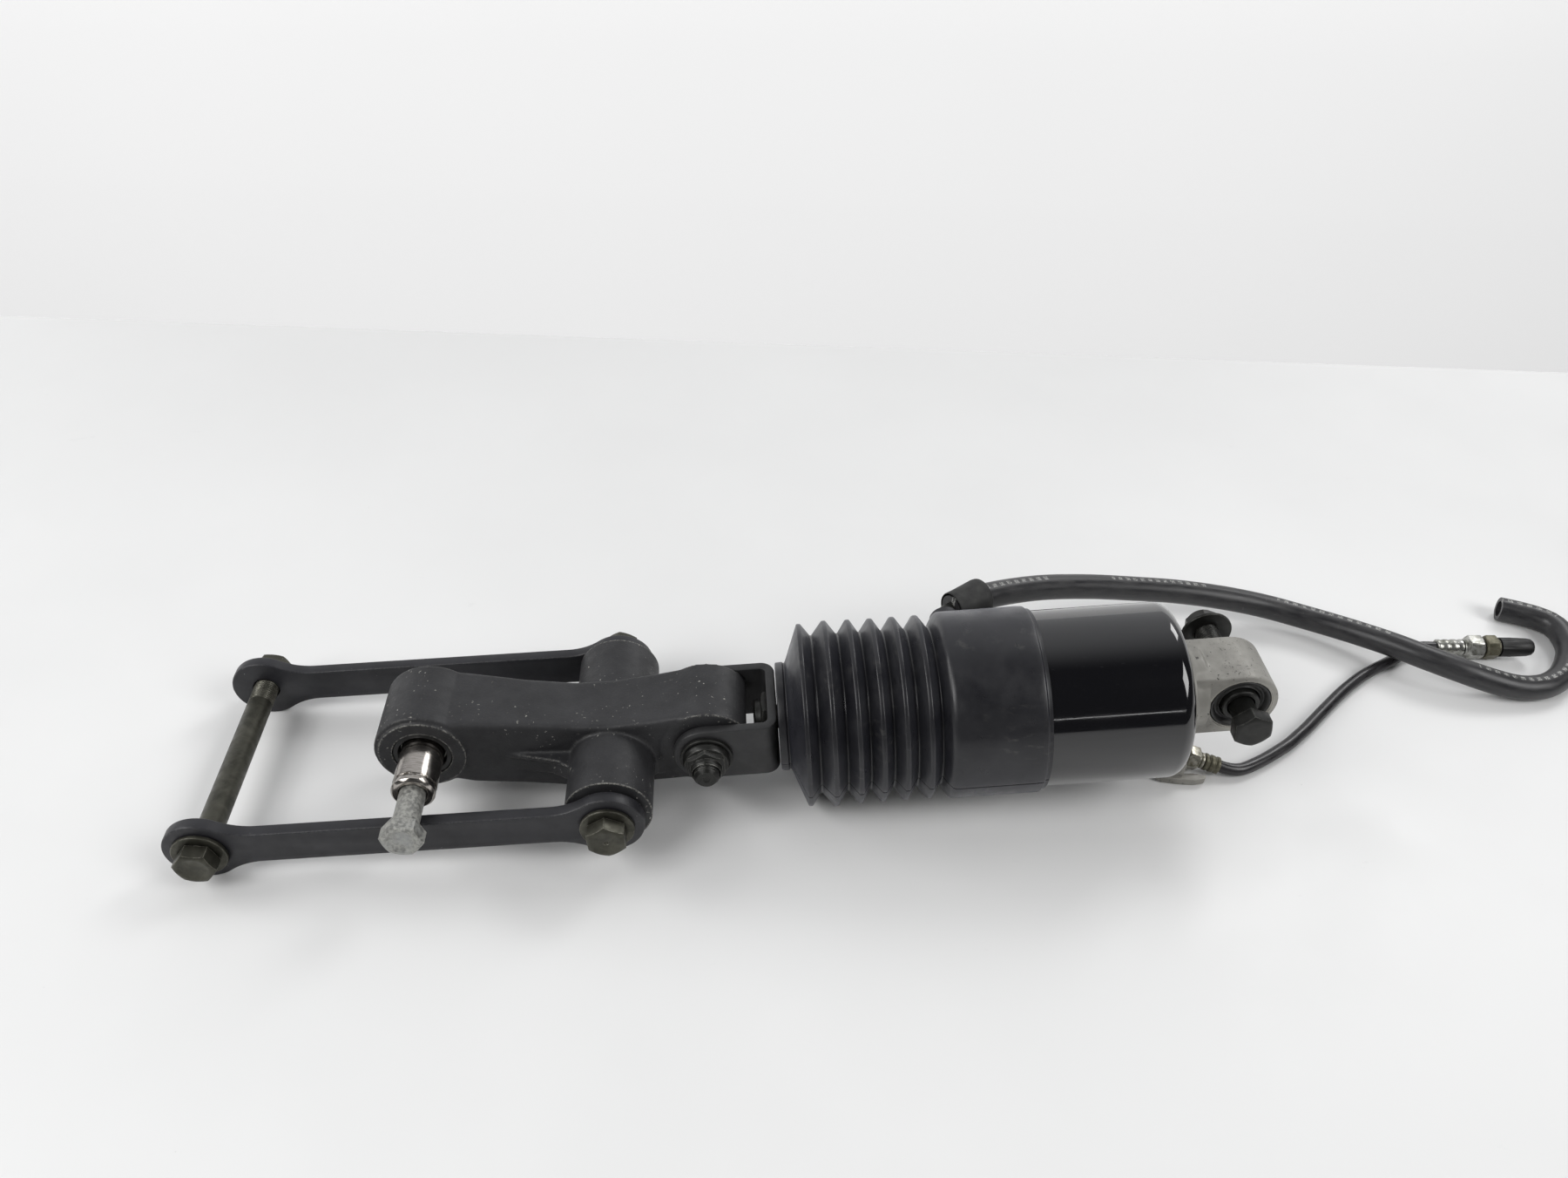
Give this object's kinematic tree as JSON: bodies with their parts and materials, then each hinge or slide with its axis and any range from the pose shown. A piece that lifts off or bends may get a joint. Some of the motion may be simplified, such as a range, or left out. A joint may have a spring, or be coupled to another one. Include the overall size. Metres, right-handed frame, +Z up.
{
  "type": "motorcycle rear shock absorber with relay arm linkage",
  "caption": "Air-assisted rear shock absorber lying on its side, hinged to a forged relay arm and a pair of link arms, with its bolts and two hoses.",
  "frame": {"origin": "bottom centre of the object's box without its hoses, on the surface that it lies on", "axes": "+X from the link arms towards the shock's upper eye, +Y away from the bolt heads, +Z up; every hinge axis runs along Y"},
  "size_m": [0.7558, 0.1968, 0.1013],
  "materials": {
    "gloss_paint": "gloss black paint",
    "black_paint": "satin black paint, worn at edges",
    "forged_paint": "matte black paint on a forging, chipped",
    "spring_paint": "satin paint",
    "dark_steel": "dark phosphated steel",
    "bright_steel": "ground bright steel",
    "zinc_steel": "dull zinc plating",
    "cast_aluminium": "raw casting",
    "brass": "tarnished brass",
    "rubber": "matte black rubber",
    "boot_rubber": "satin black rubber",
    "hose_rubber": "satin black rubber",
    "black_plastic": "black moulded plastic"
  },
  "bodies": {
    "shock_body": {"air_can": "gloss_paint", "upper_end_cap": "cast_aluminium", "upper_eye_bush": "rubber", "dust_boot": "boot_rubber", "boot_retainer_ring": "dark_steel", "damper_tube": "dark_steel", "rod_guide": "cast_aluminium", "spring_upper_seat": "dark_steel", "main_spring": "spring_paint", "air_fitting": "brass", "air_hose_ferrule": "brass", "air_hose": "hose_rubber", "valve_ferrule": "zinc_steel", "valve_body": "bright_steel", "valve_nut": "brass", "valve_cap": "black_plastic", "breather_nipple": "dark_steel", "breather_cuff": "rubber", "breather_hose": "hose_rubber"},
    "rod": {"damper_rod": "bright_steel", "piston": "cast_aluminium", "bump_stop": "rubber", "spring_lower_seat": "dark_steel", "clevis_bracket": "black_paint", "rod_nut": "dark_steel", "clevis_bolt": "dark_steel", "clevis_washer": "bright_steel", "clevis_nut": "dark_steel", "clevis_sleeve": "bright_steel"},
    "rocker": {"relay_arm": "forged_paint", "shock_pivot_bearing": "bright_steel", "shock_pivot_seal_near": "rubber", "shock_pivot_seal_far": "rubber", "link_pivot_bearing": "bright_steel", "link_pivot_seal_near": "rubber", "link_pivot_seal_far": "rubber", "frame_pivot_bearing": "bright_steel", "frame_pivot_seal_near": "rubber", "frame_pivot_seal_far": "rubber"},
    "links": {"link_arm_near": "black_paint", "link_arm_far": "black_paint", "link_pivot_bolt": "dark_steel", "link_pivot_nut": "dark_steel", "link_pivot_washer_near": "dark_steel", "link_pivot_washer_far": "dark_steel", "link_pivot_sleeve": "bright_steel"},
    "cross_bolt": {"cross_bolt": "dark_steel", "cross_nut": "dark_steel", "cross_washer_near": "dark_steel", "cross_washer_far": "dark_steel"},
    "pivot_collar": {"frame_pivot_collar": "bright_steel"},
    "pivot_bolt": {"frame_pivot_bolt": "zinc_steel"},
    "eye_sleeve": {"eye_sleeve": "dark_steel"},
    "eye_bolt": {"eye_bolt": "dark_steel", "eye_bolt_nut": "dark_steel"}
  },
  "joints": [
    {"name": "shock_stroke", "type": "slide", "parent": "shock_body", "child": "rod", "axis": [0.9964, 0, 0.0844], "range_m": [0, 0.045], "stiffness_N_per_m": 25000, "springref_m": -0.012, "deforming": ["dust_boot", "main_spring"]},
    {"name": "rocker_pivot", "type": "hinge", "parent": "rod", "child": "rocker", "pos_m": [-0.01393, 0.00105, 0.0402], "axis": [0, 1, 0], "range_deg": [-40, 60]},
    {"name": "link_swing", "type": "hinge", "parent": "rocker", "child": "links", "pos_m": [-0.05903, 0.00105, 0.0304], "axis": [0, 1, 0], "range_deg": [-95, 0]},
    {"name": "cross_bolt_spin", "type": "hinge", "parent": "links", "child": "cross_bolt", "pos_m": [-0.24285, 0.00105, 0.01706], "axis": [0, 1, 0], "continuous": true},
    {"name": "collar_spin", "type": "hinge", "parent": "rocker", "child": "pivot_collar", "pos_m": [-0.14698, 0.00105, 0.03993], "axis": [0, 1, 0], "continuous": true},
    {"name": "pivot_bolt_slide", "type": "slide", "parent": "pivot_collar", "child": "pivot_bolt", "axis": [0, 1, 0], "range_m": [-0.025, 0.007]},
    {"name": "eye_sleeve_twist", "type": "hinge", "parent": "shock_body", "child": "eye_sleeve", "pos_m": [0.24175, 0.00105, 0.06185], "axis": [0, 1, 0], "range_deg": [-15, 15], "stiffness_Nm_per_rad": 0.5},
    {"name": "eye_bolt_slide", "type": "slide", "parent": "eye_sleeve", "child": "eye_bolt", "axis": [0, 1, 0], "range_m": [-0.0208, 0.0098]}
  ]
}
